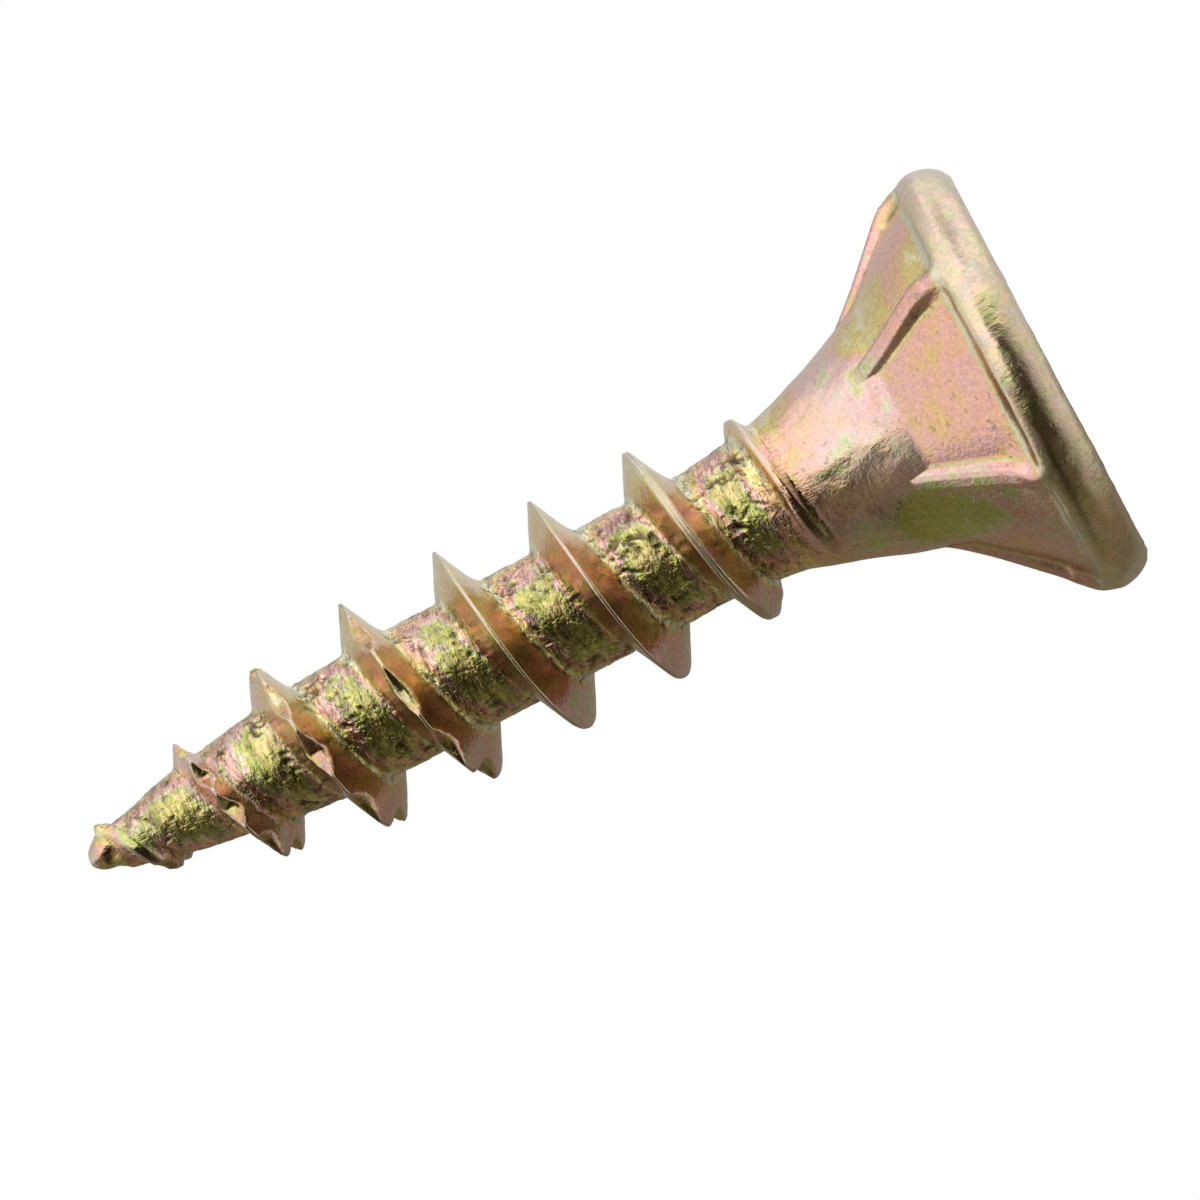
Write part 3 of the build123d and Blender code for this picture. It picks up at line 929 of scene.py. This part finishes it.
def finish_colour(nodes, place, streaked, rough, rim, specks):
    """The film with its painted mottled highlights and shade, dark pores and cracks with painted shade on
    notch facets and comb strokes, specks, scuffs, pale zinc with a painted highlight on the neck, patina and
    bare zinc, one over the other.
    """
    value, painted_mottle = nodes.blotches(place, *BRIGHTNESS), nodes.blotches(streaked, *PAINTED_MOTTLED_LIGHT)
    # painted highlights and shade: the rough parts' colour brightened and darkened in mottles
    value = nodes.math("ADD", value, nodes.times(painted_mottle, rough))
    colour = nodes.scaled(film_colour(nodes, place, streaked, rough), nodes.together(value))
    pores = nodes.blotches(streaked, *PORES)
    scuffs = nodes.blotches(nodes.scaled(place, (1.0, 1.0, 0.25)), *SCUFFS)
    patina, grit = nodes.blotches(place, *PATINA_SPOTS), nodes.blotches(place, *GRIT)
    for share, layer in (
        (nodes.times(pores, nodes.times(rough, PORE_DIRT)), DIRT_AND_PAINTED_SHADE),
        (nodes.times(specks, SPECK_COVER), SPECK),
        (nodes.times(scuffs, SCUFF_COVER), BARE_ZINC),
        # pale zinc: the rim's tint, and on the neck scuffs and a painted highlight
        (nodes.times(nodes.attribute("pale"), PALE_COVER), PALE_ZINC_AND_HIGHLIGHT),
        (nodes.times(patina, nodes.times(rim, PATINA_COVER)), PATINA),
        (nodes.times(nodes.attribute("worn"), grit, clamp=True), BARE_ZINC),
        # cracks darkened, and painted shade on the notch facets and the comb strokes
        (nodes.times(nodes.attribute("crack"), CRACK_AND_SHADE_DARKENING), DIRT_AND_PAINTED_SHADE),
    ):
        colour = nodes.mix(share, colour, layer)
    return colour


def finish_bump(nodes, place, streaked, rough, specks):
    """Fine grain: rolled across the axis in the thread's root, drawn along it on the neck and head."""
    drawn = nodes.noise(nodes.scaled(place, (1.0, 1.0, 0.3)), *DRAWN_GRAIN)
    rolled = nodes.noise(streaked, *ROLLED_GRAIN)
    fine = nodes.mix(rough, nodes.together(drawn), nodes.together(rolled))
    grain = nodes.math("ADD", fine, nodes.noise(place, *BROAD_GRAIN))
    bump = nodes.add("ShaderNodeBump")
    bump.inputs["Distance"].default_value = GRAIN_HEIGHT * MM
    nodes.plug(bump.inputs["Strength"], nodes.spread(rough, 0.0, 1.0, SMOOTH_GRAIN_STRENGTH, 1.0))
    nodes.plug(bump.inputs["Height"], nodes.math("SUBTRACT", grain, nodes.times(specks, SPECK_DENT)))
    return bump.outputs[0]


def zinc_material():
    """Yellow-passivated zinc: an interference film over metal, worn to grey zinc along sharp edges."""
    material = bpy.data.materials.new("yellow_zinc")
    material.use_nodes = True
    nodes = Nodes(material.node_tree)
    shader = material.node_tree.nodes["Principled BSDF"]
    place = nodes.scaled(nodes.add("ShaderNodeTexCoord").outputs["Object"], (1 / MM,) * 3)
    streaked = nodes.scaled(place, (0.33, 0.33, 1.0))
    rough, rim = nodes.attribute("rough"), nodes.attribute("rim")
    specks, gloss = nodes.blotches(place, *SPECKS), nodes.blotches(place, *GLOSS)
    nodes.plug(shader.inputs["Base Color"], finish_colour(nodes, place, streaked, rough, rim, specks))
    nodes.plug(shader.inputs["Metallic"], 1.0)
    nodes.plug(shader.inputs["Roughness"], nodes.math("ADD", gloss, nodes.times(rim, RIM_ROUGHNESS)))
    nodes.plug(shader.inputs["Normal"], finish_bump(nodes, place, streaked, rough, specks))
    return material


# Studio

CAMERA_DISTANCE = 88.0
LENS = 178.9
AIM = Vector((0.09, 0.0, -7.49))
TILT = math.radians(28)

# The light by direction round the screw, in degrees from the viewer towards the screw's upper side
LIGHT_ROUND = [
    (-180, (0.16, 0.145, 0.115)), (-168, (0.12, 0.102, 0.068)), (-130, (0.15, 0.132, 0.078)),
    (-95, (0.10, 0.09, 0.05)), (-78, (0.06, 0.052, 0.028)), (-55, (0.020, 0.015, 0.007)),
    (-6, (0.020, 0.015, 0.007)), (0, (0.58, 0.64, 0.32)), (9, (0.84, 0.88, 0.60)),
    (20, (1.0, 1.0, 1.0)), (80, (0.90, 0.90, 0.90)), (120, (0.50, 0.50, 0.50)),
    (180, (0.34, 0.33, 0.30)),
]
HEAD_END_TURN = math.radians(34)
OVERHEAD_LIGHT = (0.55, 0.54, 0.47, 1)
SIDE_LIGHT = (0.42, 0.41, 0.39, 1)
END_LIGHT = (0.56, 0.56, 0.52, 1)
POINT_END_LIGHT = (0.66, 0.65, 0.61, 1)
LOW_END_LIGHT = (0.14, 0.13, 0.09, 1)
WHITE = (1, 1, 1, 1)
LIGHT_STRENGTH = 1.7
FLOOR_Z, FLOOR_HALF = -16.3, 150.0


def add_world():
    """Soft studio light: bright from the screw's upper side, dark below the viewer, pale behind."""
    world = bpy.data.worlds.new("studio")
    bpy.context.scene.world = world
    world.use_nodes = True
    nodes = Nodes(world.node_tree)
    background = world.node_tree.nodes["Background"]
    direction = nodes.add("ShaderNodeSeparateXYZ")
    nodes.plug(direction.inputs[0], nodes.add("ShaderNodeTexCoord").outputs["Generated"])
    x, y, z = direction.outputs
    turn = nodes.math("ARCTAN2", nodes.math("MULTIPLY", x, -1.0), nodes.math("MULTIPLY", y, -1.0))
    turn = nodes.math("SUBTRACT", turn, nodes.spread(z, -0.10, 0.02, 0.0, HEAD_END_TURN))
    stops = [((degrees + 180) / 360, level) for degrees, level in LIGHT_ROUND]
    level = nodes.ramp(nodes.spread(turn, -math.pi, math.pi), stops)
    for share, light in (
        (nodes.times(nodes.spread(z, 0.40, 0.75), nodes.spread(y, 0.2, -0.2, 0.0, 0.6)), OVERHEAD_LIGHT),
        (nodes.times(nodes.spread(z, 0.08, 0.18), nodes.spread(x, -0.8, -0.97)), SIDE_LIGHT),
        (nodes.spread(z, -0.30, -0.80, 0.0, 0.16), END_LIGHT),
        (nodes.spread(nodes.math("ABSOLUTE", z), 0.75, 0.97), END_LIGHT),
        (nodes.spread(z, -0.64, -0.95), POINT_END_LIGHT),
        (nodes.times(nodes.spread(z, -0.45, -0.65), nodes.spread(x, 0.20, 0.50)), LOW_END_LIGHT),
    ):
        level = nodes.mix(share, level, light)
    seen = nodes.add("ShaderNodeLightPath").outputs["Is Camera Ray"]
    nodes.plug(background.inputs["Color"], nodes.mix(seen, level, WHITE))
    nodes.plug(background.inputs["Strength"], nodes.spread(seen, 0.0, 1.0, LIGHT_STRENGTH, 1.0))


def add_floor():
    """A plain white floor under the point, seen from above and clear from below."""
    sides = (-1, -1), (1, -1), (1, 1), (-1, 1)
    corners = [(x * FLOOR_HALF * MM, y * FLOOR_HALF * MM, FLOOR_Z * MM) for x, y in sides]
    mesh = bpy.data.meshes.new("floor")
    mesh.from_pydata(corners, [], [(0, 1, 2, 3)])
    material = bpy.data.materials.new("floor")
    material.use_nodes = True
    nodes = Nodes(material.node_tree)
    material.node_tree.nodes.remove(material.node_tree.nodes["Principled BSDF"])
    output = material.node_tree.nodes["Material Output"]
    white = nodes.add("ShaderNodeEmission").outputs[0]
    clear = nodes.add("ShaderNodeBsdfTransparent").outputs[0]
    seen = nodes.add("ShaderNodeLightPath").outputs["Is Camera Ray"]
    behind = nodes.add("ShaderNodeNewGeometry").outputs["Backfacing"]
    blend = nodes.add("ShaderNodeMixShader")
    nodes.plug(blend.inputs[0], nodes.math("SUBTRACT", seen, behind, clamp=True))
    nodes.plug(blend.inputs[1], clear)
    nodes.plug(blend.inputs[2], white)
    nodes.plug(output.inputs["Surface"], blend.outputs[0])
    mesh.materials.append(material)
    floor = bpy.data.objects.new("floor", mesh)
    bpy.context.scene.collection.objects.link(floor)


def add_camera():
    data = bpy.data.cameras.new("camera")
    data.lens = LENS
    data.clip_start, data.clip_end = 0.001, 10
    camera = bpy.data.objects.new("camera", data)
    bpy.context.scene.collection.objects.link(camera)
    location = Vector((0, -CAMERA_DISTANCE, 0))
    forward = (AIM - location).normalized()
    right = forward.cross(Vector((-math.cos(TILT), 0, math.sin(TILT)))).normalized()
    turn = Matrix((right, right.cross(forward), -forward)).transposed()
    camera.matrix_world = Matrix.Translation(location * MM) @ turn.to_4x4()
    bpy.context.scene.camera = camera


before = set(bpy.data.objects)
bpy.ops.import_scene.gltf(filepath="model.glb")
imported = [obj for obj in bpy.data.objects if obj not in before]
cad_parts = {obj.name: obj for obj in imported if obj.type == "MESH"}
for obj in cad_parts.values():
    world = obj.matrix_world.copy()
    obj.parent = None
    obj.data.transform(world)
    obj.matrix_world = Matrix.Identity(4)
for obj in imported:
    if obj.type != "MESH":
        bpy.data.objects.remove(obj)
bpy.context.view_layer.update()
screw = make_screw()
screw.data.materials.append(zinc_material())
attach(screw, "root")
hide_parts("screw")
add_world()
add_floor()
add_camera()
bpy.context.scene.view_settings.view_transform = "Standard"
